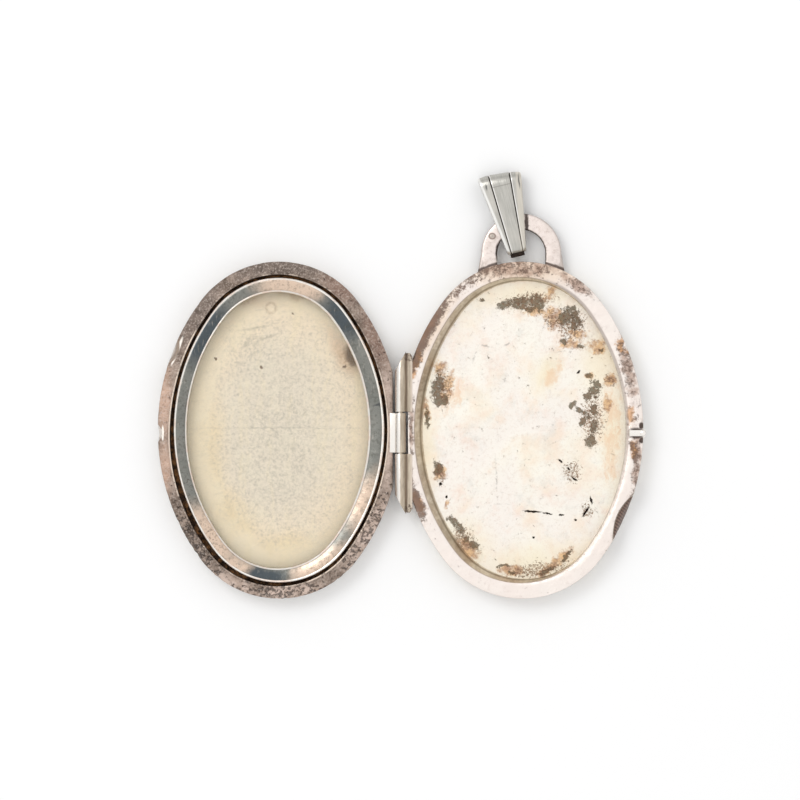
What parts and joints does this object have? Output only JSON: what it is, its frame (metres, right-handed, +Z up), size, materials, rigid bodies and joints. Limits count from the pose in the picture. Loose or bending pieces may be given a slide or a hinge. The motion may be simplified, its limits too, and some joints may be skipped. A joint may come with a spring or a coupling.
{
  "type": "hinged oval locket",
  "caption": "Open oval picture locket: two hinged silver leaves, a bezel with a clear window over paper, a snap catch, a loop and a tapered bail.",
  "frame": {"origin": "centre of the back leaf's flat outer face, which lies on the table when the locket is open", "axes": "+X across the hinge to the back leaf's free edge, +Y along the hinge towards the bail, +Z up out of the open leaves"},
  "size_m": [0.0487, 0.0427, 0.0029],
  "materials": {
    "case_silver": "worn satin silver with dark tarnish in the corners",
    "band_silver": "matte silver with brown speckle",
    "band_tarnished": "rough silver under brown-grey tarnish",
    "hinge_silver": "rubbed silver",
    "bezel_silver": "polished silver with fine pits",
    "loop_silver": "satin silver",
    "bail_silver": "satin silver with bright bevels",
    "clear_sheet": "clear plastic, yellowed and finely scratched",
    "aged_paper": "aged, speckled and stained"
  },
  "bodies": {
    "back_leaf": {"back_cover": "case_silver", "back_seat_ring": "band_silver", "knuckle_upper": "hinge_silver", "knuckle_lower": "hinge_silver", "hinge_pin": "hinge_silver", "catch_nib": "hinge_silver", "bail_loop": "loop_silver"},
    "front_leaf": {"front_cover": "case_silver", "front_seat_ring": "band_tarnished", "knuckle_centre": "hinge_silver", "retaining_bezel": "bezel_silver", "window": "clear_sheet", "picture_card": "aged_paper"},
    "bail": {"bail": "bail_silver"}
  },
  "joints": [
    {"name": "cover_hinge", "type": "hinge", "parent": "back_leaf", "child": "front_leaf", "pos_m": [-0.0121, 0, 0.00235], "axis": [0, 1, 0], "range_deg": [0, 180]},
    {"name": "bail_swing", "type": "hinge", "parent": "back_leaf", "child": "bail", "pos_m": [-0.00005, 0.0176, 0.00108], "axis": [0, 0, 1], "range_deg": [-45, 20]}
  ]
}
